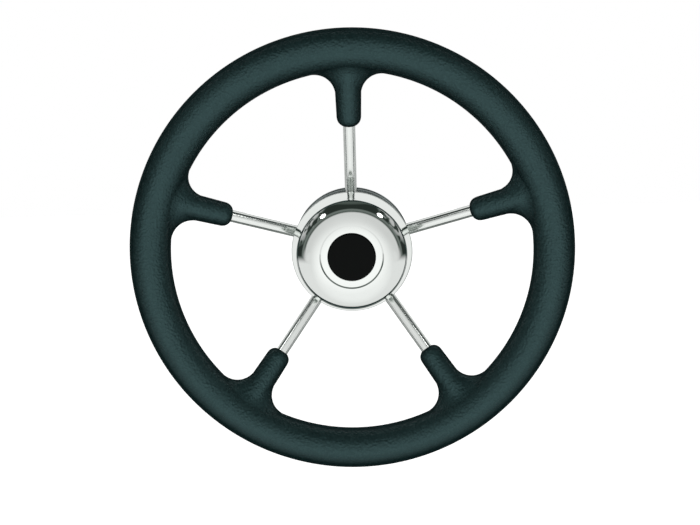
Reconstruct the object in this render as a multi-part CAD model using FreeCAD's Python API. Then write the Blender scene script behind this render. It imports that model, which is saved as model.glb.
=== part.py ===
import FreeCAD, Part
import math
import os

# A five-spoke stainless boat steering wheel with a moulded foam grip.
# Millimetres. The origin is the middle of the shaft bore at the hub's rear face.
# +Y points to the helm, the driver sits on the -Y side, and +Z runs up through spoke 1.
# A "height" is a distance forward of the hub's rear face, towards the driver.

# Rim and grip
rim_outer_dia = 343.0
rim_height = 58.0
grip_dia = 31.4
rod_dia = 9.5
foam_gap = 0.05

# Spokes and the grip's sleeves over them
spoke_count = 5
spoke_above_plate = 11.8
spoke_poke = 3.0
sleeve_length = 60.0
sleeve_tip_dia = 19.0
sleeve_root_dia = 21.6
sleeve_tip_round = 7.0
sleeve_blend = 16.5
weld_gap = 0.05
weld_leg = 2.4

# Rear plate and drum
plate_dia = 96.0
plate_thick = 4.0
plate_setback = 2.0
plate_edge_flat = 0.4
drum_dia = 80.0
drum_wall = 2.5

# Boss with the tapered shaft bore
boss_wall = 3.5
boss_length = 44.0
boss_chamfer = 1.0
bore_mouth_dia = 19.05
bore_length = 25.4
bore_taper = 1 / 12
bore_chamfer = 0.8
key_width = 4.8
key_depth = 2.4
nut_recess_dia = 31.0

# Flared ring between the drum and the cap
flare_height = 39.6
flare_reach = 4.5
flare_hollow = 0.1
flare_round = 0.9
ring_wall = 4.5
ring_shoulder = 1.5
ring_lip = 4.2

# Pressed cap
skirt_dia = 77.0
skirt_gap = 0.4
skirt_end_gap = 0.8
cap_wall = 1.2
cap_overhang = 0.5
cap_lip_round = 1.3
cap_side = 2.9
cap_edge_radius = 5.7
cap_edge_angle = 36.0
cap_dome_radius = 43.0

# Badge seat, a shallow dish in the cap's dome
seat_border = 4.8
seat_slope = 1.1
seat_depth = 0.85

# Seal ring and badge
seal_thick = 2.5
seal_gap = 0.05
seal_play = 0.7
badge_dia = 37.4
badge_gap = 0.2
badge_sink = 0.8
badge_edge = 0.3
badge_edge_round = 1.5
badge_crown_angle = 6.0

ORIGIN = FreeCAD.Vector(0, 0, 0)
X_AXIS = FreeCAD.Vector(1, 0, 0)
Y_AXIS = FreeCAD.Vector(0, 1, 0)
Z_AXIS = FreeCAD.Vector(0, 0, 1)

rim_radius = (rim_outer_dia - grip_dia) / 2
plate_front = plate_setback + plate_thick
plate_round = (plate_thick - plate_edge_flat) / 2
drum_radius = drum_dia / 2
drum_bore = drum_radius - drum_wall
spoke_foot = plate_front + spoke_above_plate
spoke_rake = math.degrees(math.atan2(rim_height - spoke_foot, rim_radius - drum_radius))
nut_recess = nut_recess_dia / 2
boss_radius = nut_recess + boss_wall
bore_mouth = bore_mouth_dia / 2
bore_throat = bore_mouth - bore_taper * bore_length / 2
skirt = skirt_dia / 2
ring_bore = skirt + skirt_gap
ring_neck = ring_bore + ring_wall
ring_rear = flare_height - flare_round
skirt_foot = ring_rear + ring_shoulder + skirt_end_gap
groove_width = seal_thick + seal_play
ring_front = skirt_foot + groove_width + ring_lip
cap_lip = ring_neck + cap_overhang
cap_widest = ring_front + cap_side
badge_recess = badge_dia / 2 + badge_gap
seat_radius = badge_recess + seat_border


# Outline helpers: a turned outline is drawn as (radius, height) pairs
def at(point):
    radius, height = point
    return FreeCAD.Vector(radius, -height, 0)


def line(start, end):
    return Part.makeLine(at(start), at(end))


def path(points):
    return [line(a, b) for a, b in zip(points, points[1:])]


def on_arc(centre, radius, angle):
    """The point of a round outline whose outward normal leans this many degrees off the axis."""
    turn = math.radians(angle)
    return centre[0] + radius * math.sin(turn), centre[1] + radius * math.cos(turn)


def arc(centre, radius, start, end):
    angles = (start, (start + end) / 2, end)
    return Part.Arc(*[at(on_arc(centre, radius, a)) for a in angles]).toShape()


def centre_of(point, radius, angle):
    """The centre of the arc that passes a point with this normal angle."""
    return on_arc(point, -radius, angle)


def turned(edges):
    outline = Part.Wire(Part.__sortEdges__(edges))
    return Part.Face(outline).revolve(ORIGIN, Y_AXIS, 360)


# Places
def on_spoke(shape, number):
    """Move a shape drawn along +Z, with the rim's centre line at its foot, onto a spoke's axis."""
    placed = shape.copy()
    placed.rotate(ORIGIN, X_AXIS, 180 + spoke_rake)
    placed.translate(FreeCAD.Vector(0, -rim_height, rim_radius))
    placed.rotate(ORIGIN, Y_AXIS, number * 360 / spoke_count)
    return placed


def spoke_run(radius):
    """The distance along a spoke's axis from the rim's centre line in to a radius from the hub's axis."""
    return (rim_radius - radius) / math.cos(math.radians(spoke_rake))


def rod_along_spoke(number, dia):
    inner_end = spoke_run(drum_bore - spoke_poke)
    return on_spoke(Part.makeCylinder(dia / 2, inner_end), number)


def ring_rod(dia):
    return Part.makeTorus(rim_radius, dia / 2, FreeCAD.Vector(0, -rim_height, 0), Y_AXIS)


def hub_cylinder(radius, low, high):
    return Part.makeCylinder(radius, high - low, at((0, low)), -Y_AXIS)


# Rim: a bent and welded rod inside a foam moulding with five sleeves
def rim_core():
    return ring_rod(rod_dia)


def sleeve(number):
    root = sleeve_root_dia / 2
    tip = sleeve_tip_dia / 2
    round_start = sleeve_length - sleeve_tip_round
    flat = tip - sleeve_tip_round
    side = [FreeCAD.Vector(0, 0, 0), FreeCAD.Vector(root, 0, 0), FreeCAD.Vector(tip, 0, round_start)]
    bend = FreeCAD.Vector(
        flat + sleeve_tip_round * math.sin(math.pi / 4),
        0,
        round_start + sleeve_tip_round * math.cos(math.pi / 4),
    )
    nose = FreeCAD.Vector(flat, 0, sleeve_length)
    end = FreeCAD.Vector(0, 0, sleeve_length)
    edges = [Part.makeLine(side[0], side[1]), Part.makeLine(side[1], side[2])]
    edges.append(Part.Arc(side[2], bend, nose).toShape())
    edges.append(Part.makeLine(nose, end))
    edges.append(Part.makeLine(end, side[0]))
    solid = Part.Face(Part.Wire(edges)).revolve(ORIGIN, Z_AXIS, 360)
    return on_spoke(solid, number)


def rim_grip():
    body = ring_rod(grip_dia).multiFuse([sleeve(n) for n in range(spoke_count)])
    joins = [e for e in body.Edges if isinstance(e.Curve, Part.BSplineCurve)]
    body = body.makeFillet(sleeve_blend, joins)
    hollow = rod_dia + 2 * foam_gap
    steel = [rod_along_spoke(n, hollow) for n in range(spoke_count)]
    return body.cut(ring_rod(hollow)).cut(steel)


# Spokes: straight rods, coped onto the rim's rod and run through the drum's wall
def spoke(number):
    return rod_along_spoke(number, rod_dia).cut(ring_rod(rod_dia))


# Hub
def rear_plate():
    outer = plate_dia / 2
    bend = plate_round
    front = (outer - bend, plate_front - bend)
    rear = (outer - bend, plate_setback + bend)
    edges = path([(boss_radius, plate_setback), (boss_radius, plate_front), (outer - bend, plate_front)])
    edges.append(arc(front, bend, 0, 90))
    edges.append(line(on_arc(front, bend, 90), on_arc(rear, bend, 90)))
    edges.append(arc(rear, bend, 90, 180))
    edges.append(line((outer - bend, plate_setback), (boss_radius, plate_setback)))
    return turned(edges)


def hub_drum():
    """The tube that carries the spokes, with a weld bead round each."""
    tube = hub_cylinder(drum_radius, plate_front, ring_rear)
    rods = [rod_along_spoke(n, rod_dia) for n in range(spoke_count)]
    beaded = tube.multiFuse(rods)
    seams = [e for e in beaded.Edges if isinstance(e.Curve, Part.BSplineCurve)]
    beaded = beaded.makeFillet(weld_leg, seams)
    holes = [rod_along_spoke(n, rod_dia + 2 * weld_gap) for n in range(spoke_count)]
    inner = hub_cylinder(drum_bore, plate_front, ring_rear)
    return beaded.cut(holes).cut(inner)


def hub_boss():
    bevel = boss_chamfer
    points = [
        (bore_mouth + bore_chamfer, 0),
        (boss_radius - bevel, 0),
        (boss_radius, bevel),
        (boss_radius, boss_length - bevel),
        (boss_radius - bevel, boss_length),
        (nut_recess + bevel, boss_length),
        (nut_recess, boss_length - bevel),
        (nut_recess, bore_length),
        (bore_throat, bore_length),
        (bore_mouth - bore_taper * bore_chamfer / 2, bore_chamfer),
        (bore_mouth + bore_chamfer, 0),
    ]
    return turned(path(points)).cut(keyway())


def keyway():
    """A slot as deep as the key at both ends of the taper, on the same side as spoke 1."""
    half = key_width / 2
    corners = [(0, 0), (bore_mouth + key_depth, 0), (bore_throat + key_depth, bore_length), (0, bore_length)]
    points = [FreeCAD.Vector(-half, -height, reach) for reach, height in corners + corners[:1]]
    return Part.Face(Part.makePolygon(points)).extrude(X_AXIS * key_width)


def front_ring():
    """The turned ring under the cap: flared outside, bored for the cap's skirt and the seal."""
    neck = (ring_neck, ring_front)
    edge = (ring_neck + flare_reach - flare_round, flare_height)
    brink = on_arc(edge, flare_round, 45)
    middle = ((neck[0] + brink[0]) / 2 - flare_hollow, (neck[1] + brink[1]) / 2 - flare_hollow)
    groove = skirt + seal_thick + 2 * seal_gap
    points = [
        (edge[0], ring_rear),
        (drum_bore, ring_rear),
        (drum_bore, ring_rear + ring_shoulder),
        (ring_bore, ring_rear + ring_shoulder),
        (ring_bore, skirt_foot),
        (groove, skirt_foot),
        (groove, skirt_foot + groove_width),
        (ring_bore, skirt_foot + groove_width),
        (ring_bore, ring_front),
        neck,
    ]
    edges = path(points)
    edges.append(Part.Arc(at(neck), at(middle), at(brink)).toShape())
    edges.append(arc(edge, flare_round, 45, 180))
    return turned(edges)


def cap_seal():
    middle = skirt + seal_gap + seal_thick / 2
    return Part.makeTorus(middle, seal_thick / 2, at((0, skirt_foot + groove_width / 2)), Y_AXIS)


def dome_centre():
    """The dome's centre line: a ring well inside the cap, where edge and dome arcs meet smoothly."""
    edge = (cap_lip - cap_edge_radius, cap_widest)
    return centre_of(on_arc(edge, cap_edge_radius, cap_edge_angle), cap_dome_radius, cap_edge_angle)


def angle_at(radius, centre, reach):
    """The normal angle where an arc about this centre passes a radius from the hub's axis."""
    return math.degrees(math.asin((radius - centre[0]) / reach))


def cap_arcs(inset):
    """The cap's edge, dome and seat as (centre, radius, start, end), set in by a wall."""
    edge = (cap_lip - cap_edge_radius, cap_widest)
    dome = dome_centre()
    dome_reach = cap_dome_radius - inset
    seat_reach = dome_reach - seat_depth
    recess = badge_recess + inset
    return [
        (edge, cap_edge_radius - inset, 90, cap_edge_angle),
        (dome, dome_reach, cap_edge_angle, angle_at(seat_radius + seat_slope, dome, dome_reach)),
        (dome, seat_reach, angle_at(seat_radius, dome, seat_reach), angle_at(recess, dome, seat_reach)),
    ]


def start_of(piece):
    return on_arc(piece[0], piece[1], piece[2])


def end_of(piece):
    return on_arc(piece[0], piece[1], piece[3])


def badge_floor():
    return end_of(cap_arcs(0)[-1])[1] - badge_sink


def hub_cap():
    """One pressed sheet: domed, with a seat for the badge, a rolled lip and a skirt inside the ring."""
    outer = cap_arcs(0)
    inner = cap_arcs(cap_wall)
    floor = badge_floor()
    lip = (cap_lip - cap_lip_round, ring_front + cap_lip_round)
    edges = [arc(*a) for a in outer + inner]
    edges += path([end_of(outer[1]), start_of(outer[2])])
    edges += path([end_of(outer[2]), (badge_recess, floor), (0, floor), (0, floor - cap_wall)])
    edges += path([(0, floor - cap_wall), (badge_recess + cap_wall, floor - cap_wall), end_of(inner[2])])
    edges += path([start_of(inner[2]), end_of(inner[1])])
    edges += path([start_of(inner[0]), (cap_lip - cap_wall, lip[1]), (skirt - cap_wall, lip[1])])
    edges += path([(skirt - cap_wall, lip[1]), (skirt - cap_wall, skirt_foot), (skirt, skirt_foot)])
    edges += path([(skirt, skirt_foot), (skirt, ring_front), (lip[0], ring_front)])
    edges.append(arc(lip, cap_lip_round, 180, 90))
    edges += path([(cap_lip, lip[1]), start_of(outer[0])])
    return turned(edges)


def badge():
    """A black disc with a thick domed face, glued into the cap's recess."""
    floor = badge_floor()
    edge_centre = (badge_dia / 2 - badge_edge_round, floor + badge_edge)
    crown_edge = on_arc(edge_centre, badge_edge_round, badge_crown_angle)
    crown_radius = crown_edge[0] / math.sin(math.radians(badge_crown_angle))
    crown = centre_of(crown_edge, crown_radius, badge_crown_angle)
    edges = path([(0, crown[1] + crown_radius), (0, floor), (badge_dia / 2, floor)])
    edges += path([(badge_dia / 2, floor), (badge_dia / 2, edge_centre[1])])
    edges.append(arc(edge_centre, badge_edge_round, 90, badge_crown_angle))
    edges.append(arc(crown, crown_radius, badge_crown_angle, 0))
    return turned(edges)


def main():
    os.makedirs("parts", exist_ok=True)
    nodes = {
        "rim_grip": rim_grip(),
        "rim_core": rim_core(),
        "rear_plate": rear_plate(),
        "hub_drum": hub_drum(),
        "hub_boss": hub_boss(),
        "front_ring": front_ring(),
        "cap_seal": cap_seal(),
        "hub_cap": hub_cap(),
        "badge": badge(),
    }
    for number in range(spoke_count):
        nodes[f"spoke_{number + 1}"] = spoke(number)
    for name, shape in nodes.items():
        print(name, shape.isValid(), len(shape.Solids), round(shape.Volume, 1), shape.BoundBox)
        shape.exportStep(f"parts/{name}.step")


main()
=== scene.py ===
"""Looks of a five-spoke boat steering wheel: polished steel, a moulded foam grip and a studio.

It is laid out as an add-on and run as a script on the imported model. Lengths are in metres.
The driver sits on the -Y side, +Y points to the helm and +Z runs up through spoke 1.
A turned piece is drawn as (radius, height) pairs, and a height is a distance forward of the
hub's rear face, towards the driver. A "lean" is the angle of a surface's normal off the axis.
"""

import math

import bmesh
import bpy
from bpy.props import FloatProperty, FloatVectorProperty, IntProperty, PointerProperty
from mathutils import Matrix, Vector
from mathutils.bvhtree import BVHTree


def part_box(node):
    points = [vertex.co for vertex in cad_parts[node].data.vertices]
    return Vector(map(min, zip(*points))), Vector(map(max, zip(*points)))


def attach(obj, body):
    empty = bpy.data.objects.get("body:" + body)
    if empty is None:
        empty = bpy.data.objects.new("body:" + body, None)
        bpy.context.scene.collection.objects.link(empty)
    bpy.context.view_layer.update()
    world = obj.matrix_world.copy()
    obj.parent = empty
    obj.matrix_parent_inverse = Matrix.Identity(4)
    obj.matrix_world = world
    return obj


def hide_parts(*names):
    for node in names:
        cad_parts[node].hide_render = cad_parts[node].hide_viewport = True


bl_info = {
    "name": "Boat steering wheel",
    "version": (1, 0, 0),
    "blender": (4, 5, 0),
    "location": "View3D > Sidebar > Wheel",
    "description": "Fine pieces, finishes and studio of a five-spoke boat steering wheel",
    "category": "Object",
}

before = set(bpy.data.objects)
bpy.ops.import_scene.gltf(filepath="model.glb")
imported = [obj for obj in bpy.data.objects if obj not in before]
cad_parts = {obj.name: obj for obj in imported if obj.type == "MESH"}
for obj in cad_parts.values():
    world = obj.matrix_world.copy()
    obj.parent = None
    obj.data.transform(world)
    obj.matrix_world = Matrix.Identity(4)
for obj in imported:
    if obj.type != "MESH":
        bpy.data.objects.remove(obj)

SPOKES = [f"spoke_{number + 1}" for number in range(5)]
CORE_LOW, CORE_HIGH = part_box("rim_core")
RIM_CENTRE = (CORE_LOW + CORE_HIGH) / 2
MM = 0.001
HUB_STEPS = 360  # flats round a turned piece of the hub
BADGE_STEPS = 240  # flats round the badge
ROD_STEPS = 96  # flats round a spoke
ROD_ROWS = 12  # rows of flats along it
BEAD_STEPS = 240  # flats along a weld bead
BEAD_ROWS = 10  # flats across it


def length(name, description, value):
    default = value * MM
    return FloatProperty(
        name=name, description=description, default=default, unit="LENGTH", precision=4
    )


def angle(name, description, value):
    default = math.radians(value)
    return FloatProperty(name=name, description=description, default=default, unit="ROTATION")


def colour(name, description, value):
    return FloatVectorProperty(
        name=name, description=description, default=value, subtype="COLOR", min=0, max=1
    )


# Settings
class WheelCap(bpy.types.PropertyGroup):
    lip: length("Lip radius", "Radius of the cap's rolled lip", 43.9)
    lip_round: length("Lip round", "Radius of the lip's lower edge", 1.3)
    seat: length("Seat height", "Height of the ring's face that the lip rests on", 48.4)
    side: length("Side", "Height of the cap's widest line above the ring", 2.9)
    sheet: length("Sheet", "Thickness of the pressed sheet", 1.2)
    edge: length("Edge radius", "Radius of the bend from the side to the dome", 5.7)
    edge_lean: angle("Edge lean", "Lean of the surface where the bend meets the dome", 36.0)
    dome: length("Dome radius", "Radius of the dome's long curve", 43.0)
    dish: length("Dish radius", "Radius of the shallow dish round the badge", 23.7)
    dish_slope: length("Dish slope", "Width of the slope round the dish", 1.1)
    dish_depth: length("Dish depth", "Depth of the dish", 0.85)
    recess: length("Recess radius", "Radius of the badge's recess", 18.9)
    recess_depth: length("Recess depth", "Depth of the badge's recess", 0.8)
    skirt: length("Skirt radius", "Outer radius of the skirt inside the ring", 38.5)
    skirt_foot: length("Skirt foot", "Height of the skirt's free edge", 41.0)


class WheelHub(bpy.types.PropertyGroup):
    drum: length("Drum radius", "Outer radius of the drum that carries the spokes", 40.0)
    drum_bore: length("Drum bore", "Inner radius of the drum", 37.5)
    drum_foot: length("Drum foot", "Height of the drum's rear end", 6.0)
    drum_head: length("Drum head", "Height of the drum's front end", 38.7)
    plate: length("Plate radius", "Radius of the rear plate", 48.0)
    plate_hole: length("Plate hole", "Radius of the plate's hole round the boss", 19.0)
    plate_back: length("Plate back", "Height of the plate's rear face", 2.0)
    plate_thick: length("Plate thickness", "Thickness of the rear plate", 4.0)
    plate_round: length("Plate round", "Radius of the plate's outer edges", 1.8)
    neck: length("Ring neck", "Radius of the ring where it meets the cap", 43.4)
    flare: length("Flare radius", "Outer radius of the ring's flared edge", 47.9)
    flare_height: length("Flare height", "Height of the flared edge's brink", 39.6)
    flare_round: length("Flare round", "Radius of the flared edge", 0.9)
    flare_hollow: length("Flare hollow", "How far the flare's side bows inward", 0.1)
    ring_bore: length("Ring bore", "Radius of the ring's bore for the cap's skirt", 38.9)
    groove: length("Groove radius", "Radius of the seal's groove", 41.1)
    groove_foot: length("Groove foot", "Height of the groove's rear wall", 41.0)
    groove_width: length("Groove width", "Width of the seal's groove", 3.2)
    ring_shoulder: length("Ring shoulder", "Depth of the ring's step behind the bore", 1.5)


class WheelSpokes(bpy.types.PropertyGroup):
    rod: length("Rod radius", "Radius of the spokes' rod", 4.75)
    foot: length("Spoke foot", "Height of the spokes' axes where they meet the drum", 17.8)
    rim_radius: length("Rim radius", "Radius of the rim's centre line", 155.8)
    inner_radius: length("Inner end", "Radius that the spokes' inner ends reach", 34.5)
    weld_leg: length("Weld leg", "Reach of the weld beads over drum and rod", 2.3)
    weld_ripples: IntProperty(
        name="Weld ripples", description="Ripples in each weld bead", default=30
    )


class WheelGrip(bpy.types.PropertyGroup):
    thick: length("Grip radius", "Radius of the foam round the rim's centre line", 15.7)
    root: length("Sleeve root", "Radius of a sleeve at the rim's centre line", 10.8)
    tip: length("Sleeve tip", "Radius of a sleeve where its end starts to round off", 9.5)
    straight: length("Sleeve length", "Length of a sleeve's straight side", 53.0)
    channel: length("Channel", "Radius of the channel that the steel lies in", 4.8)
    mesh_size: length("Mesh size", "Size of the faces of the foam's skin", 1.4)


class WheelBadge(bpy.types.PropertyGroup):
    radius: length("Badge radius", "Radius of the badge", 18.7)
    wall: length("Badge wall", "Straight height of the badge's edge", 0.3)
    edge_round: length("Badge edge", "Radius of the dome's edge", 1.5)
    crown_lean: angle("Crown lean", "Lean of the dome where it meets its edge", 6.0)


class WheelFinish(bpy.types.PropertyGroup):
    foam: colour("Foam", "Colour of the moulded foam grip", (0.0040, 0.0145, 0.0150))
    foam_worn: colour("Foam, raised", "Colour of the foam's raised grain", (0.0095, 0.0270, 0.0275))
    foam_shine: colour("Foam shine", "Tint of the foam's gloss", (0.56, 0.98, 1.0))
    steel: colour("Polished steel", "Colour of the polished steel", (0.84, 0.87, 0.845))
    satin: colour("Satin steel", "Colour of the brushed plate and drum", (0.50, 0.52, 0.51))
    # Painted shade: this darker colour goes on the plate's front face, for the shade under the
    # flared ring.
    rolled: colour("Dull steel", "Colour of the plate's front face", (0.23, 0.26, 0.255))
    turned: colour("Turned steel", "Colour of the turned boss", (0.62, 0.64, 0.63))
    drawn: colour("Drawn steel", "Colour of the rod inside the grip", (0.5, 0.51, 0.5))
    rubber: colour("Seal rubber", "Colour of the seal", (0.012, 0.012, 0.012))
    badge: colour("Badge", "Colour under the badge's dome", (0.0024, 0.0034, 0.0030))


class WheelStudio(bpy.types.PropertyGroup):
    floor_drop: length("Floor drop", "How far the floor lies below the grip", 300)
    camera_distance: length("Camera distance", "From the camera to the wheel's middle", 700)
    camera_rise: angle("Camera rise", "How far the camera looks down on the wheel", 10.42)
    camera_side: angle("Camera side", "How far the camera stands to the right", 0.65)
    camera_roll: angle("Camera roll", "How far the camera leans over", 0.38)
    wheel_spin: angle("Wheel spin", "Turn of the wheel, which the camera takes up", 1.71)
    lens: FloatProperty(
        name="Lens", description="Focal length on a 36 mm wide sensor", default=46.55
    )
    lamp_side: angle("Lamp side", "How far each lamp stands to its side", 46)
    lamp_rise: angle("Lamp rise", "How high the lamps stand", 39)
    lamp_distance: length("Lamp distance", "From the lamps to the wheel's middle", 1600)
    lamp_size: length("Lamp size", "Diameter of each lamp", 200)
    lamp_power: FloatProperty(
        name="Lamp power", description="Power of each small lamp", default=0.5, unit="POWER"
    )


# Outlines
def on_arc(centre, radius, lean):
    return centre[0] + radius * math.sin(lean), centre[1] + radius * math.cos(lean)


def centre_of(point, radius, lean):
    return on_arc(point, -radius, lean)


def arc(centre, radius, start, end, steps):
    leans = [start + (end - start) * step / steps for step in range(steps + 1)]
    return [on_arc(centre, radius, lean) for lean in leans]


def straight(start, end, steps):
    """Points between two points, both left out."""
    wide, high = end[0] - start[0], end[1] - start[1]
    shares = [step / steps for step in range(1, steps)]
    return [(start[0] + wide * share, start[1] + high * share) for share in shares]


# Mesh helpers
def finished(mesh, name, made, slot, *nodes):
    """A piece on the wheel's one body, in place of the nodes that it stands for."""
    piece = bpy.data.objects.new(name, mesh)
    bpy.context.scene.collection.objects.link(piece)
    mesh.materials.append(made)
    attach(piece, "root")
    if nodes:
        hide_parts(*nodes)


def meshed(build, name, crease=28):
    """Smooth shaded, with an edge wherever two faces meet at more than crease degrees."""
    bmesh.ops.remove_doubles(build, verts=build.verts, dist=0.002 * MM)
    bmesh.ops.recalc_face_normals(build, faces=build.faces)
    for face in build.faces:
        face.smooth = True
    for edge in build.edges:
        edge.smooth = len(edge.link_faces) == 2 and edge.calc_face_angle() < math.radians(crease)
    mesh = bpy.data.meshes.new(name)
    build.to_mesh(mesh)
    build.free()
    return mesh


def turned(name, outline, around=HUB_STEPS):
    """A closed outline of (radius, height) pairs turned about the hub's axis."""
    build = bmesh.new()
    rings = []
    for step in range(around):
        turn = 2 * math.pi * step / around
        x, z = math.sin(turn), math.cos(turn)
        rings.append([build.verts.new((r * x, -h, r * z)) for r, h in outline])
    count = len(outline)
    for step in range(around):
        here, after = rings[step], rings[(step + 1) % around]
        for k in range(count):
            m = (k + 1) % count
            if outline[k][0] == 0 and outline[m][0] == 0:
                continue
            build.faces.new((here[k], here[m], after[m], after[k]))
    return meshed(build, name)


# Material helpers
class Shading:
    """A material with one Principled shader, and short ways to add its nodes."""

    def __init__(self, name, colour, roughness, metallic=0.0):
        self.material = bpy.data.materials.new(name)
        self.material.use_nodes = True
        self.tree = self.material.node_tree
        self.tree.nodes.clear()
        self.output = self.add("ShaderNodeOutputMaterial")
        self.shader = self.add("ShaderNodeBsdfPrincipled")
        self.link(self.shader.outputs[0], self.output.inputs[0])
        self.shader.inputs["Base Color"].default_value = (*colour, 1)
        self.shader.inputs["Roughness"].default_value = roughness
        self.shader.inputs["Metallic"].default_value = metallic
        self.place = self.add("ShaderNodeTexCoord").outputs["Object"]

    def add(self, kind):
        return self.tree.nodes.new(kind)

    def link(self, source, target):
        self.tree.links.new(source, target)

    def noise(self, scale, detail, place=None):
        node = self.add("ShaderNodeTexNoise")
        node.inputs["Scale"].default_value = scale
        node.inputs["Detail"].default_value = detail
        self.link(place or self.place, node.inputs["Vector"])
        return node.outputs["Fac"]

    def grain(self, scale):
        node = self.add("ShaderNodeTexVoronoi")
        node.feature = "SMOOTH_F1"
        node.inputs["Scale"].default_value = scale
        self.link(self.place, node.inputs["Vector"])
        return node.outputs["Distance"]

    def maths(self, operation, first, second):
        node = self.add("ShaderNodeMath")
        node.operation = operation
        for socket, value in zip(node.inputs, (first, second)):
            if isinstance(value, (int, float)):
                socket.default_value = value
            else:
                self.link(value, socket)
        return node.outputs[0]

    def between(self, value, low, high, start=0.3, end=0.7):
        """A noise value spread over a range."""
        node = self.add("ShaderNodeMapRange")
        self.link(value, node.inputs["Value"])
        node.inputs["From Min"].default_value = start
        node.inputs["From Max"].default_value = end
        node.inputs["To Min"].default_value = low
        node.inputs["To Max"].default_value = high
        return node.outputs["Result"]

    def blend(self, value, low, high):
        """A colour between two, by a noise value."""
        node = self.add("ShaderNodeMix")
        node.data_type = "RGBA"
        self.link(value, node.inputs["Factor"])
        node.inputs["A"].default_value = (*low, 1)
        node.inputs["B"].default_value = (*high, 1)
        return node.outputs["Result"]

    def join(self, share, tone, other):
        """A tone that gives way to another colour by a share."""
        node = self.add("ShaderNodeMix")
        node.data_type = "RGBA"
        self.link(share, node.inputs["Factor"])
        self.link(tone, node.inputs["A"])
        node.inputs["B"].default_value = (*other, 1)
        return node.outputs["Result"]

    def axes(self):
        """The x, y and z of a place on the piece."""
        split = self.add("ShaderNodeSeparateXYZ")
        self.link(self.place, split.inputs[0])
        return split.outputs

    def around(self, fine, coarse):
        """Coordinates in which a noise runs in fine rings about the hub's axis."""
        x, y, z = self.axes()
        squares = self.maths("ADD", self.maths("MULTIPLY", x, x), self.maths("MULTIPLY", z, z))
        out = self.maths("SQRT", squares, 0.0)
        turn = self.maths("ABSOLUTE", self.maths("ARCTAN2", x, z), 0.0)
        join = self.add("ShaderNodeCombineXYZ")
        self.link(self.maths("MULTIPLY", out, fine), join.inputs[0])
        self.link(self.maths("MULTIPLY", y, fine), join.inputs[1])
        self.link(self.maths("MULTIPLY", turn, coarse), join.inputs[2])
        return join.outputs[0]

    def raise_by(self, height, distance, strength=1.0, under=None):
        node = self.add("ShaderNodeBump")
        node.inputs["Strength"].default_value = strength
        node.inputs["Distance"].default_value = distance
        self.link(height, node.inputs["Height"])
        if under:
            self.link(under, node.inputs["Normal"])
        return node.outputs["Normal"]

    def fade_to_matt(self, tone, relief, start, end):
        """From facing the eye to edge on, the shader gives way to one without gloss."""
        matt = self.add("ShaderNodeBsdfDiffuse")
        self.link(tone, matt.inputs["Color"])
        self.link(relief, matt.inputs["Normal"])
        facing = self.add("ShaderNodeLayerWeight").outputs["Facing"]
        mix = self.add("ShaderNodeMixShader")
        self.link(self.between(facing, 0, 0.95, start, end), mix.inputs[0])
        self.link(self.shader.outputs[0], mix.inputs[1])
        self.link(matt.outputs[0], mix.inputs[2])
        self.link(mix.outputs[0], self.output.inputs[0])

    def set(self, name, value):
        if isinstance(value, (int, float)):
            self.shader.inputs[name].default_value = value
        else:
            self.link(value, self.shader.inputs[name])


def lighter(colour, factor):
    return tuple(min(1.0, channel * factor) for channel in colour)


def once(name, build):
    """The finish of this name, built the first time that it is asked for."""
    return bpy.data.materials.get(name) or build()


def polished_steel():
    """Mirror polish: faint buffing lines round the hub and a cloudy sheen."""

    def build():
        tone = bpy.context.scene.wheel_finish.steel
        made = Shading("mirror_finish", tone, 0.04, metallic=1.0)
        cloud = made.noise(55, 2)
        lines = made.noise(1, 2, made.around(2600, 3.0))
        made.set("Base Color", made.blend(cloud, lighter(tone, 0.97), lighter(tone, 1.03)))
        haze = made.between(cloud, 0.02, 0.045)
        made.set("Roughness", made.maths("ADD", haze, made.between(lines, 0.0, 0.02)))
        made.set("Normal", made.raise_by(lines, 0.002 * MM, 0.35))
        return made.material

    return once("mirror_finish", build)


def rod_steel():
    """Mirror polish on the spokes: the buffing marks are short and run every way."""

    def build():
        tone = bpy.context.scene.wheel_finish.steel
        made = Shading("rod_finish", tone, 0.12, metallic=1.0)
        cloud = made.noise(90, 2)
        marks = made.noise(1800, 4)
        made.set("Base Color", made.blend(cloud, lighter(tone, 0.96), lighter(tone, 1.02)))
        haze = made.between(cloud, 0.10, 0.14)
        made.set("Roughness", made.maths("ADD", haze, made.between(marks, -0.02, 0.03)))
        made.shader.inputs["Specular Tint"].default_value = (0.4, 0.4, 0.4, 1)
        made.set("Normal", made.raise_by(marks, 0.002 * MM, 0.12))
        return made.material

    return once("rod_finish", build)


def satin_steel():
    """Brushed round and round, duller than the polish. The plate's front face is darker: painted
    shade.
    """

    def build():
        finish = bpy.context.scene.wheel_finish
        hub = bpy.context.scene.wheel_hub
        front = -(hub.plate_back + hub.plate_thick)
        made = Shading("satin_finish", finish.satin, 0.3, metallic=1.0)
        lines = made.noise(1, 3, made.around(3600, 2.0))
        cloud = made.noise(60, 2)
        # Painted shade: a band over the plate's front face takes a darker colour, for the shade
        # under the flared ring.
        y = made.axes()[1]
        behind = made.between(y, 0, 1, front + 1.6 * MM, front + 1.0 * MM)
        ahead = made.between(y, 1, 0, front - 0.2 * MM, front - 0.4 * MM)
        rolled = made.maths("MULTIPLY", behind, ahead)
        brushed = made.blend(cloud, lighter(finish.satin, 0.93), lighter(finish.satin, 1.05))
        made.set("Base Color", made.join(rolled, brushed, finish.rolled))
        haze = made.between(lines, 0.22, 0.32)
        made.set("Roughness", made.maths("ADD", haze, made.between(cloud, -0.02, 0.03)))
        made.set("Normal", made.raise_by(lines, 0.006 * MM, 0.5))
        return made.material

    return once("satin_finish", build)


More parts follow.
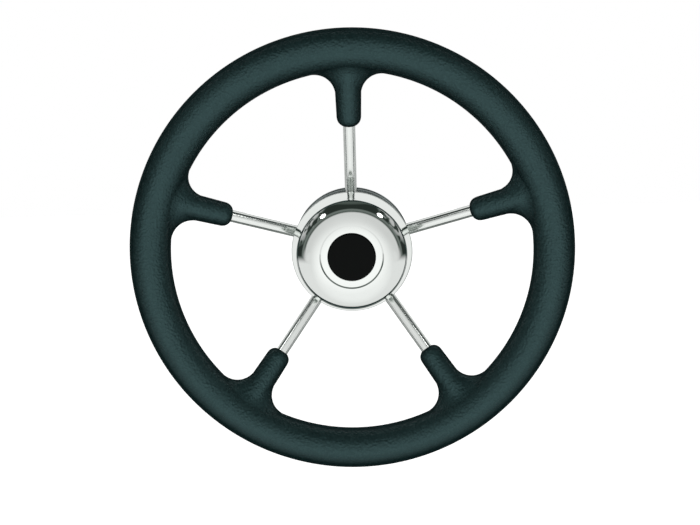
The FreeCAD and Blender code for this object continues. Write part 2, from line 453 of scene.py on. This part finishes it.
def turned_steel():
    """Lathe finish: clear rings from the tool, satin."""

    def build():
        tone = bpy.context.scene.wheel_finish.turned
        made = Shading("lathe_finish", tone, 0.3, metallic=1.0)
        rings = made.noise(1, 3, made.around(5200, 1.2))
        cloud = made.noise(70, 3)
        made.set("Base Color", made.blend(rings, lighter(tone, 0.9), lighter(tone, 1.08)))
        haze = made.between(rings, 0.2, 0.34)
        made.set("Roughness", made.maths("ADD", haze, made.between(cloud, -0.03, 0.04)))
        made.set("Normal", made.raise_by(rings, 0.02 * MM, 0.6))
        return made.material

    return once("lathe_finish", build)


def drawn_steel():
    """The rod inside the grip, dull from drawing and bending."""

    def build():
        tone = bpy.context.scene.wheel_finish.drawn
        made = Shading("drawn_finish", tone, 0.4, metallic=1.0)
        scale = made.noise(160, 4)
        fine = made.noise(2400, 3)
        made.set("Base Color", made.blend(scale, lighter(tone, 0.85), lighter(tone, 1.1)))
        made.set("Roughness", made.between(scale, 0.32, 0.5))
        made.set("Normal", made.raise_by(fine, 0.02 * MM, 0.5))
        return made.material

    return once("drawn_finish", build)


def foam():
    """Integral-skin foam from a textured mould: small round pebbles, uneven in height and gloss.

    The skin is too rough to shine at a grazing angle, so there a matt shader takes over.
    """

    def build():
        finish = bpy.context.scene.wheel_finish
        made = Shading("foam_finish", finish.foam, 0.35)
        uneven = made.noise(210, 3)
        pebbles = made.grain(620)
        clumps = made.noise(430, 2)
        broad = made.noise(26, 2)
        tops = made.between(pebbles, 0.75, 0, 0.1, 0.5)
        raised = made.maths("ADD", tops, made.between(uneven, 0, 0.5, 0.35, 0.65))
        tone = made.blend(raised, finish.foam, finish.foam_worn)
        rubbed = made.between(pebbles, -0.05, 0.1, 0.1, 0.5)
        made.set("Base Color", tone)
        made.set("Roughness", made.maths("ADD", made.between(broad, 0.31, 0.36), rubbed))
        made.set("Specular IOR Level", 0.78)
        made.shader.inputs["Specular Tint"].default_value = (*finish.foam_shine, 1)
        grained = made.raise_by(made.maths("MULTIPLY", pebbles, -1.0), 0.5 * MM, 1.0)
        relief = made.raise_by(clumps, 0.36 * MM, 1.0, grained)
        made.set("Normal", relief)
        made.fade_to_matt(tone, relief, 0.06, 0.5)
        return made.material

    return once("foam_finish", build)


def seal_rubber():
    def build():
        tone = bpy.context.scene.wheel_finish.rubber
        made = Shading("rubber_finish", tone, 0.4)
        cloud = made.noise(420, 3)
        made.set("Base Color", made.blend(cloud, tone, lighter(tone, 1.8)))
        made.set("Roughness", made.between(cloud, 0.34, 0.5))
        made.set("Normal", made.raise_by(made.noise(3000, 2), 0.01 * MM, 0.4))
        return made.material

    return once("rubber_finish", build)


def badge_gloss():
    """Deep black under a clear dome, with the dome's slight waviness."""

    def build():
        tone = bpy.context.scene.wheel_finish.badge
        made = Shading("badge_finish", tone, 0.06)
        cloud = made.noise(140, 2)
        made.set("Base Color", made.blend(cloud, tone, lighter(tone, 1.35)))
        made.set("Roughness", made.between(cloud, 0.05, 0.09))
        made.set("Specular IOR Level", 0.06)
        made.set("Normal", made.raise_by(made.noise(90, 1), 0.01 * MM, 0.3))
        return made.material

    return once("badge_finish", build)


# Pieces
def angle_at(radius, centre, reach):
    return math.asin((radius - centre[0]) / reach)


def cap_outline(cap):
    """The pressed sheet's outline: outside from the middle to the skirt, then back inside."""
    edge = (cap.lip - cap.edge, cap.seat + cap.side)
    dome = centre_of(on_arc(edge, cap.edge, cap.edge_lean), cap.dome, cap.edge_lean)
    brim = cap.dish + cap.dish_slope
    low = cap.dome - cap.dish_depth
    lip = (cap.lip - cap.lip_round, cap.seat + cap.lip_round)
    dish = arc(dome, low, angle_at(cap.recess, dome, low), angle_at(cap.dish, dome, low), 10)
    floor = dish[0][1] - cap.recess_depth
    outside = [(0, floor)] + straight((0, floor), (cap.recess, floor), 4)
    outside += [(cap.recess, floor)] + dish
    outside += arc(dome, cap.dome, angle_at(brim, dome, cap.dome), cap.edge_lean, 40)
    outside += arc(edge, cap.edge, cap.edge_lean, math.pi / 2, 24)[1:]
    outside += arc(lip, cap.lip_round, math.pi / 2, math.pi, 12)
    wall = cap.sheet
    bore, hollow = cap.skirt - wall, cap.recess + wall
    over, under = cap.dome - wall, low - wall
    inside = [(cap.skirt, cap.seat), (cap.skirt, cap.skirt_foot), (bore, cap.skirt_foot)]
    inside += [(bore, lip[1]), (cap.lip - wall, lip[1])]
    inside += arc(edge, cap.edge - wall, math.pi / 2, cap.edge_lean, 8)
    inside += arc(dome, over, cap.edge_lean, angle_at(brim, dome, over), 12)[1:]
    inside += arc(dome, under, angle_at(cap.dish, dome, under), angle_at(hollow, dome, under), 4)
    inside += [(hollow, floor - wall), (0, floor - wall)]
    return outside + inside


class WHEEL_OT_cap(bpy.types.Operator):
    """The pressed and polished cap"""

    bl_idname = "wheel.cap"
    bl_label = "Cap"

    def execute(self, context):
        mesh = turned("cap_shell", cap_outline(context.scene.wheel_cap))
        finished(mesh, "cap_shell", polished_steel(), "polished_steel", "hub_cap")
        return {"FINISHED"}


class WHEEL_OT_ring(bpy.types.Operator):
    """The turned ring under the cap, flared outside, and its seal"""

    bl_idname = "wheel.ring"
    bl_label = "Ring and seal"

    def execute(self, context):
        hub, cap = context.scene.wheel_hub, context.scene.wheel_cap
        neck = (hub.neck, cap.seat)
        edge = (hub.flare - hub.flare_round, hub.flare_height)
        brink = on_arc(edge, hub.flare_round, math.pi / 4)
        wide, high = brink[0] - neck[0], brink[1] - neck[1]
        side, steps = [], 24
        for step in range(steps + 1):
            share = step / steps
            bow = 4 * hub.flare_hollow * share * (1 - share)
            side.append((neck[0] + wide * share - bow, neck[1] + high * share - bow))
        rear = hub.drum_head
        outline = side + arc(edge, hub.flare_round, math.pi / 4, math.pi, 12)[1:]
        outline += straight((edge[0], rear), (hub.drum_bore, rear), 4)
        shoulder, groove_head = rear + hub.ring_shoulder, hub.groove_foot + hub.groove_width
        outline += [(hub.drum_bore, rear), (hub.drum_bore, shoulder)]
        outline += [(hub.ring_bore, shoulder), (hub.ring_bore, hub.groove_foot)]
        outline += [(hub.groove, hub.groove_foot), (hub.groove, groove_head)]
        outline += [(hub.ring_bore, groove_head), (hub.ring_bore, cap.seat)]
        mesh = turned("flared_ring", outline)
        finished(mesh, "flared_ring", polished_steel(), "polished_steel", "front_ring")
        dress("cap_seal", seal_rubber())
        return {"FINISHED"}


class WHEEL_OT_plate(bpy.types.Operator):
    """The round rear plate"""

    bl_idname = "wheel.plate"
    bl_label = "Rear plate"

    def execute(self, context):
        hub = context.scene.wheel_hub
        bend, front = hub.plate_round, hub.plate_back + hub.plate_thick
        outer = hub.plate - bend
        outline = [(hub.plate_hole, front)] + straight((hub.plate_hole, front), (outer, front), 8)
        outline += arc((outer, front - bend), bend, 0, math.pi / 2, 12)
        outline += arc((outer, hub.plate_back + bend), bend, math.pi / 2, math.pi, 12)
        outline += straight((outer, hub.plate_back), (hub.plate_hole, hub.plate_back), 8)
        outline += [(hub.plate_hole, hub.plate_back)]
        mesh = turned("back_plate", outline)
        finished(mesh, "back_plate", satin_steel(), "polished_steel", "rear_plate")
        return {"FINISHED"}


def spoke_rake():
    """How far the spokes lean back to the hub."""
    spokes, hub = bpy.context.scene.wheel_spokes, bpy.context.scene.wheel_hub
    return math.atan2(-RIM_CENTRE.y - spokes.foot, spokes.rim_radius - hub.drum)


def spoke_frame(spokes, number):
    """A spoke's start at the rim's centre line, its way inward and its two cross directions."""
    turn, rake = 2 * math.pi * number / len(SPOKES), spoke_rake()
    out = Vector((math.sin(turn), 0, math.cos(turn)))
    start = out * spokes.rim_radius + Vector((0, RIM_CENTRE.y, 0))
    inward = -out * math.cos(rake) + Vector((0, math.sin(rake), 0))
    across = Vector((math.cos(turn), 0, -math.sin(turn)))
    return start, inward, across, inward.cross(across)


class WHEEL_OT_spokes(bpy.types.Operator):
    """The five polished rods"""

    bl_idname = "wheel.spokes"
    bl_label = "Spokes"

    def execute(self, context):
        spokes = context.scene.wheel_spokes
        run = (spokes.rim_radius - spokes.inner_radius) / math.cos(spoke_rake())
        bevel, outer_end = 0.4 * MM, 5 * MM
        rows = [(spokes.rod - bevel, run), (spokes.rod, run - bevel)]
        for row in reversed(range(ROD_ROWS)):
            reach = outer_end + (run - bevel - outer_end) * row / ROD_ROWS
            rows.append((spokes.rod, reach))
        for number, node in enumerate(SPOKES):
            start, inward, across, over = spoke_frame(spokes, number)
            build = bmesh.new()
            rings = []
            for radius, reach in rows:
                ring = []
                for step in range(ROD_STEPS):
                    turn = 2 * math.pi * step / ROD_STEPS
                    side, lift = math.sin(turn), math.cos(turn)
                    place = start + inward * reach + (across * side + over * lift) * radius
                    ring.append(build.verts.new(place))
                rings.append(ring)
            for here, after in zip(rings, rings[1:]):
                for step in range(ROD_STEPS):
                    m = (step + 1) % ROD_STEPS
                    build.faces.new((here[step], here[m], after[m], after[step]))
            build.faces.new(rings[0])
            build.faces.new(rings[-1])
            name = f"spoke_rod_{number + 1}"
            finished(meshed(build, name), name, rod_steel(), "polished_steel", node)
        return {"FINISHED"}


def weld_bead(build, hub, spokes, number):
    """A rippled bead along the line where a rod runs into the drum."""
    start, inward, across, over = spoke_frame(spokes, number)
    rings = []
    for step in range(BEAD_STEPS):
        turn = 2 * math.pi * step / BEAD_STEPS
        side = across * math.sin(turn) + over * math.cos(turn)
        foot = start + side * spokes.rod
        a = inward.x**2 + inward.z**2
        b = 2 * (foot.x * inward.x + foot.z * inward.z)
        c = foot.x**2 + foot.z**2 - hub.drum**2
        reach = (-b - math.sqrt(b * b - 4 * a * c)) / (2 * a)
        meet = foot + inward * reach
        out = Vector((meet.x, 0, meet.z)).normalized()
        ripple = 1 + 0.07 * math.cos(turn * spokes.weld_ripples)
        leg = spokes.weld_leg * ripple
        along_rod = -inward
        along_drum = (side - out * side.dot(out)).normalized()
        ring = []
        for k in range(BEAD_ROWS + 1):
            swing = math.pi / 2 * k / BEAD_ROWS
            sag = 0.55 + 0.45 * (1 - math.sin(2 * swing))
            rise = along_rod * leg * math.cos(swing) * sag
            ring.append(build.verts.new(meet + rise + along_drum * leg * math.sin(swing) * sag))
        ring.append(build.verts.new(meet - out * 0.6 * MM - side * 0.3 * MM))
        rings.append(ring)
    for step in range(BEAD_STEPS):
        here, after = rings[step], rings[(step + 1) % BEAD_STEPS]
        for k in range(len(here)):
            m = (k + 1) % len(here)
            build.faces.new((here[k], here[m], after[m], after[k]))


class WHEEL_OT_drum(bpy.types.Operator):
    """The drum that carries the spokes, with a weld bead round each"""

    bl_idname = "wheel.drum"
    bl_label = "Drum and welds"

    def execute(self, context):
        hub, spokes = context.scene.wheel_hub, context.scene.wheel_spokes
        head, foot = (hub.drum, hub.drum_head), (hub.drum, hub.drum_foot)
        outline = [head] + straight(head, foot, 16) + [foot]
        outline += [(hub.drum_bore, hub.drum_foot), (hub.drum_bore, hub.drum_head)]
        mesh = turned("drum_tube", outline)
        finished(mesh, "drum_tube", satin_steel(), "polished_steel", "hub_drum")
        for number in range(len(SPOKES)):
            build = bmesh.new()
            weld_bead(build, hub, spokes, number)
            name = f"weld_bead_{number + 1}"
            finished(meshed(build, name, crease=60), name, rod_steel(), "polished_steel")
        return {"FINISHED"}


class WHEEL_OT_badge(bpy.types.Operator):
    """The plain black badge with its clear dome"""

    bl_idname = "wheel.badge"
    bl_label = "Badge"

    def execute(self, context):
        badge = context.scene.wheel_badge
        _, floor = cap_outline(context.scene.wheel_cap)[0]
        edge = (badge.radius - badge.edge_round, floor + badge.wall)
        brink = on_arc(edge, badge.edge_round, badge.crown_lean)
        crown = brink[0] / math.sin(badge.crown_lean)
        middle = centre_of(brink, crown, badge.crown_lean)
        outline = arc(middle, crown, 0, badge.crown_lean, 24)
        outline += arc(edge, badge.edge_round, badge.crown_lean, math.pi / 2, 16)[1:]
        outline += [(badge.radius, floor), (0, floor)]
        outline[0] = (0, outline[0][1])
        mesh = turned("badge_dome", outline, BADGE_STEPS)
        finished(mesh, "badge_dome", badge_gloss(), "badge_black", "badge")
        return {"FINISHED"}


def dress(node, made):
    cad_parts[node].data.materials.clear()
    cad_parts[node].data.materials.append(made)


class WHEEL_OT_inner(bpy.types.Operator):
    """Finishes of the boss and of the rod inside the grip"""

    bl_idname = "wheel.inner"
    bl_label = "Boss and rim rod"

    def execute(self, context):
        dress("hub_boss", turned_steel())
        dress("rim_core", drawn_steel())
        return {"FINISHED"}


def steel_distance(point, spokes):
    """How far a point lies from the middle of the steel inside the grip."""
    nearest = math.hypot(math.hypot(point.x, point.z) - spokes.rim_radius, point.y - RIM_CENTRE.y)
    for number in range(len(SPOKES)):
        start, inward, _, _ = spoke_frame(spokes, number)
        reach = max(0, (point - start).dot(inward))
        nearest = min(nearest, (point - start - inward * reach).length)
    return nearest


def closed_grip(grip, spokes):
    """The grip's outside without the channel for the steel, closed at the sleeves' ends."""
    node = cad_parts["rim_grip"]
    build = bmesh.new()
    build.from_mesh(node.data)
    build.transform(node.matrix_world)
    bmesh.ops.remove_doubles(build, verts=build.verts, dist=0.001 * MM)
    limit = grip.channel + 0.15 * MM
    channel = []
    for face in build.faces:
        if steel_distance(face.calc_center_median(), spokes) < limit:
            channel.append(face)
    bmesh.ops.delete(build, geom=channel, context="FACES")
    bmesh.ops.holes_fill(build, edges=[edge for edge in build.edges if edge.is_boundary])
    return build


def even_skin(rough, size):
    """The same form with small even faces."""
    mesh = bpy.data.meshes.new("grip_rough")
    rough.to_mesh(mesh)
    holder = bpy.data.objects.new("grip_rough", mesh)
    bpy.context.scene.collection.objects.link(holder)
    remesh = holder.modifiers.new("even", "REMESH")
    remesh.mode = "VOXEL"
    remesh.voxel_size = size
    found = holder.evaluated_get(bpy.context.evaluated_depsgraph_get())
    skin = bmesh.new()
    skin.from_mesh(found.to_mesh())
    found.to_mesh_clear()
    bpy.data.objects.remove(holder)
    bpy.data.meshes.remove(mesh)
    return skin


def onto(point, foot, radius, near):
    """The point moved to a radius from foot, if it lies near it; less and less so further off."""
    away = point - foot
    off = away.length - radius
    pull = min(1.0, max(0.0, 2 - 2 * abs(off) / near))
    return point - away.normalized() * off * pull


def true_form(point, grip, spokes):
    """A point of the skin, set exactly onto the rim's tube or a sleeve's cone where it is one."""
    near = 0.25 * MM
    out = Vector((point.x, 0, point.z)).normalized()
    ring = out * spokes.rim_radius + Vector((0, RIM_CENTRE.y, 0))
    point = onto(point, ring, grip.thick, near)
    for number in range(len(SPOKES)):
        start, inward, _, _ = spoke_frame(spokes, number)
        reach = (point - start).dot(inward)
        if 0 < reach < grip.straight:
            radius = grip.root + (grip.tip - grip.root) * reach / grip.straight
            point = onto(point, start + inward * reach, radius, near)
    return point


def smooth(skin):
    """One pass that evens out the faces of the grip's skin."""
    axes = {"use_axis_x": True, "use_axis_y": True, "use_axis_z": True}
    bmesh.ops.smooth_vert(skin, verts=skin.verts, factor=0.5, **axes)


class WHEEL_OT_grip(bpy.types.Operator):
    """The moulded foam grip with its five sleeves"""

    bl_idname = "wheel.grip"
    bl_label = "Grip"

    def execute(self, context):
        grip, spokes = context.scene.wheel_grip, context.scene.wheel_spokes
        rough = closed_grip(grip, spokes)
        surface = BVHTree.FromBMesh(rough)
        skin = even_skin(rough, grip.mesh_size)
        rough.free()
        for _ in range(3):
            smooth(skin)
            for vert in skin.verts:
                vert.co = surface.find_nearest(vert.co)[0]
        smooth(skin)
        for vert in skin.verts:
            vert.co = true_form(vert.co, grip, spokes)
        mesh = meshed(skin, "grip_skin", crease=60)
        finished(mesh, "grip_skin", foam(), "grip_foam", "rim_grip")
        return {"FINISHED"}


# Studio
def build_floor(settings):
    """A pale floor, near white to the camera and clear to the steel's reflections."""
    place = (0, 0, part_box("rim_grip")[0].z - settings.floor_drop)
    bpy.ops.mesh.primitive_grid_add(x_subdivisions=8, y_subdivisions=8, size=8, location=place)
    floor = bpy.context.object
    floor.name = "studio_floor"
    made = Shading("floor", (0.82, 0.82, 0.82), 0.9)
    path = made.add("ShaderNodeLightPath")
    clear = made.add("ShaderNodeBsdfTransparent")
    glow = made.add("ShaderNodeEmission")
    glow.inputs["Strength"].default_value = 0.8
    lit = made.add("ShaderNodeAddShader")
    made.link(made.shader.outputs[0], lit.inputs[0])
    made.link(glow.outputs[0], lit.inputs[1])
    seen = made.add("ShaderNodeMixShader")
    made.link(path.outputs["Is Camera Ray"], seen.inputs[0])
    made.link(made.shader.outputs[0], seen.inputs[1])
    made.link(lit.outputs[0], seen.inputs[2])
    mirrored = made.add("ShaderNodeMixShader")
    made.link(path.outputs["Is Glossy Ray"], mirrored.inputs[0])
    made.link(seen.outputs[0], mirrored.inputs[1])
    made.link(clear.outputs[0], mirrored.inputs[2])
    made.link(mirrored.outputs[0], made.output.inputs[0])
    floor.data.materials.append(made.material)


def direction_of(side, rise):
    """The way to a point seen from the wheel, at an angle to the right and at an angle up."""
    level = math.cos(rise)
    return Vector((math.sin(side) * level, -math.cos(side) * level, math.sin(rise)))


def build_world():
    """Soft white light from the front, from behind and from below, and a darker ceiling.

    Dim patches lie at the sides. Light under a third of full strength is tinted green.
    """
    world = bpy.data.worlds.new("studio")
    bpy.context.scene.world = world
    world.use_nodes = True
    nodes, links = world.node_tree.nodes, world.node_tree.links
    nodes.clear()
    output = nodes.new("ShaderNodeOutputWorld")
    toward = nodes.new("ShaderNodeTexCoord").outputs["Generated"]

    def combine(operation, first, second):
        node = nodes.new("ShaderNodeMath")
        node.operation = operation
        for socket, value in zip(node.inputs, (first, second)):
            if isinstance(value, (int, float)):
                socket.default_value = value
            else:
                links.new(value, socket)
        return node.outputs[0]

    def edge(direction, start, end, level):
        """A light that grows to its level as the way along a direction goes from start to end."""
        dot = nodes.new("ShaderNodeVectorMath")
        dot.operation = "DOT_PRODUCT"
        links.new(toward, dot.inputs[0])
        dot.inputs[1].default_value = direction
        ramp = nodes.new("ShaderNodeMapRange")
        ramp.interpolation_type = "SMOOTHSTEP"
        links.new(dot.outputs["Value"], ramp.inputs["Value"])
        ramp.inputs["From Min"].default_value = start
        ramp.inputs["From Max"].default_value = end
        ramp.inputs["To Max"].default_value = level
        return ramp.outputs["Result"]

    def lobe(azimuth, rise, inner, outer, level):
        """A round light, in degrees: azimuth 0 is the driver's side and 90 the right.

        It has its full level up to inner degrees from its middle, and ends at outer.
        """
        direction = direction_of(math.radians(azimuth), math.radians(rise))
        start, end = math.cos(math.radians(outer)), math.cos(math.radians(inner))
        return edge(direction, start, end, level)

    def patches(scale, low, high):
        """A light in soft patches, between two levels."""
        noise = nodes.new("ShaderNodeTexNoise")
        links.new(toward, noise.inputs["Vector"])
        noise.inputs["Scale"].default_value = scale
        noise.inputs["Detail"].default_value = 1.0
        ramp = nodes.new("ShaderNodeMapRange")
        ramp.interpolation_type = "SMOOTHSTEP"
        links.new(noise.outputs["Fac"], ramp.inputs["Value"])
        ramp.inputs["From Min"].default_value = 0.40
        ramp.inputs["From Max"].default_value = 0.60
        ramp.inputs["To Min"].default_value = low
        ramp.inputs["To Max"].default_value = high
        return ramp.outputs["Result"]

    shadow = combine("SUBTRACT", 1.0, lobe(180, -30, 60, 74, 0.75))
    table = combine("MULTIPLY", edge((0, 0, -1), 0.13, 0.3, 0.84), shadow)
    screen = combine("ADD", lobe(0, -15, 56, 60, 0.70), lobe(0, -32, 20, 58, 0.28))
    screen = combine("ADD", screen, lobe(-4, -6, 14, 46, 0.12))
    sides = combine("MAXIMUM", lobe(46, -14, 4, 22, 0.80), lobe(-46, -14, 4, 22, 0.80))
    walls = combine("MAXIMUM", lobe(80, 29, 12, 32, 1.0), lobe(-80, 29, 12, 32, 1.0))
    walls = combine("MULTIPLY", walls, patches(7.0, 0.05, 0.60))
    glow = combine("SUBTRACT", lobe(0, -15, 63.5, 67, 0.19), lobe(0, -15, 60.5, 62, 0.08))
    ceiling = combine("MAXIMUM", edge((0, 0, 1), 0.83, 0.9, 0.1), 0.03)
    ring = combine("SUBTRACT", lobe(180, 12, 60, 64, 0.92), lobe(180, 2, 9, 15, 0.70))
    ring = combine("SUBTRACT", ring, edge((0, 0, 1), 0.915, 0.955, 0.9))
    rear = combine("MAXIMUM", ring, edge((0, 1, -0.3), 0.0, 0.35, 0.22))
    light = table
    for part in (screen, sides, walls, glow, ceiling, rear):
        light = combine("MAXIMUM", light, part)
    path = nodes.new("ShaderNodeLightPath")
    tint = nodes.new("ShaderNodeMix")
    tint.data_type = "RGBA"
    links.new(combine("MULTIPLY", light, 3.0), tint.inputs["Factor"])
    tint.inputs["A"].default_value = (0.74, 1.0, 0.86, 1)
    tint.inputs["B"].default_value = (1, 1, 1, 1)

    def background(strength):
        node = nodes.new("ShaderNodeBackground")
        node.inputs["Color"].default_value = (1, 1, 1, 1)
        if isinstance(strength, (int, float)):
            node.inputs["Strength"].default_value = strength
        else:
            links.new(strength, node.inputs["Strength"])
            links.new(tint.outputs["Result"], node.inputs["Color"])
        return node.outputs[0]

    def by_ray(kind, otherwise, when):
        node = nodes.new("ShaderNodeMixShader")
        links.new(path.outputs[kind], node.inputs[0])
        links.new(otherwise, node.inputs[1])
        links.new(when, node.inputs[2])
        return node.outputs[0]

    links.new(by_ray("Is Camera Ray", background(light), background(1.0)), output.inputs[0])


def build_lamps(settings):
    """Two small round lamps, high on the left and right."""
    for name, side in (("left_lamp", -settings.lamp_side), ("right_lamp", settings.lamp_side)):
        away = direction_of(side, settings.lamp_rise)
        data = bpy.data.lights.new(name, "AREA")
        data.shape = "DISK"
        data.size = settings.lamp_size
        data.energy = settings.lamp_power
        lamp = bpy.data.objects.new(name, data)
        bpy.context.scene.collection.objects.link(lamp)
        lamp.location = RIM_CENTRE + away * settings.lamp_distance
        lamp.rotation_euler = away.to_track_quat("Z", "Y").to_euler()


def build_camera(settings):
    """The photo's camera, about the rim's centre; the wheel's spin is taken up by the camera."""
    rise, side = settings.camera_rise, settings.camera_side
    right = Vector((math.cos(side), math.sin(side), 0))
    back = direction_of(side, rise)
    up = back.cross(right)
    lean = settings.camera_roll
    across = math.cos(lean) * right + math.sin(lean) * up
    upright = -math.sin(lean) * right + math.cos(lean) * up
    aim = Vector((-1.32, 0, -5.07)) * MM
    data = bpy.data.cameras.new("photo_camera")
    data.sensor_width = 36
    data.lens = settings.lens
    camera = bpy.data.objects.new("photo_camera", data)
    bpy.context.scene.collection.objects.link(camera)
    pose = Matrix((across, upright, back)).transposed().to_4x4()
    pose.translation = aim + back * settings.camera_distance
    turn = Matrix.Rotation(settings.wheel_spin, 4, "Y")
    camera.matrix_world = Matrix.Translation(RIM_CENTRE) @ turn @ pose
    bpy.context.scene.camera = camera


class WHEEL_OT_studio(bpy.types.Operator):
    """The floor, the light round the wheel and the camera"""

    bl_idname = "wheel.studio"
    bl_label = "Studio"

    def execute(self, context):
        settings = context.scene.wheel_studio
        context.scene.view_settings.view_transform = "Standard"
        build_floor(settings)
        build_world()
        build_lamps(settings)
        build_camera(settings)
        return {"FINISHED"}


class WHEEL_PT_panel(bpy.types.Panel):
    """The wheel's steps"""

    bl_idname = "WHEEL_PT_panel"
    bl_label = "Wheel"
    bl_space_type = "VIEW_3D"
    bl_region_type = "UI"
    bl_category = "Wheel"

    def draw(self, context):
        for step in STEPS:
            self.layout.operator(step.bl_idname)


STEPS = (
    WHEEL_OT_cap,
    WHEEL_OT_ring,
    WHEEL_OT_plate,
    WHEEL_OT_drum,
    WHEEL_OT_spokes,
    WHEEL_OT_badge,
    WHEEL_OT_inner,
    WHEEL_OT_grip,
    WHEEL_OT_studio,
)
SETTINGS = {
    "wheel_cap": WheelCap,
    "wheel_hub": WheelHub,
    "wheel_spokes": WheelSpokes,
    "wheel_grip": WheelGrip,
    "wheel_badge": WheelBadge,
    "wheel_finish": WheelFinish,
    "wheel_studio": WheelStudio,
}


def register():
    for cls in (*SETTINGS.values(), *STEPS, WHEEL_PT_panel):
        bpy.utils.register_class(cls)
    for name, group in SETTINGS.items():
        setattr(bpy.types.Scene, name, PointerProperty(type=group))


def unregister():
    for name in SETTINGS:
        delattr(bpy.types.Scene, name)
    for cls in (WHEEL_PT_panel, *reversed(STEPS), *SETTINGS.values()):
        bpy.utils.unregister_class(cls)


def main():
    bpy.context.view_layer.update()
    register()
    bpy.ops.wheel.cap()
    bpy.ops.wheel.ring()
    bpy.ops.wheel.plate()
    bpy.ops.wheel.drum()
    bpy.ops.wheel.spokes()
    bpy.ops.wheel.badge()
    bpy.ops.wheel.inner()
    bpy.ops.wheel.grip()
    bpy.ops.wheel.studio()


if __name__ == "__main__":
    main()
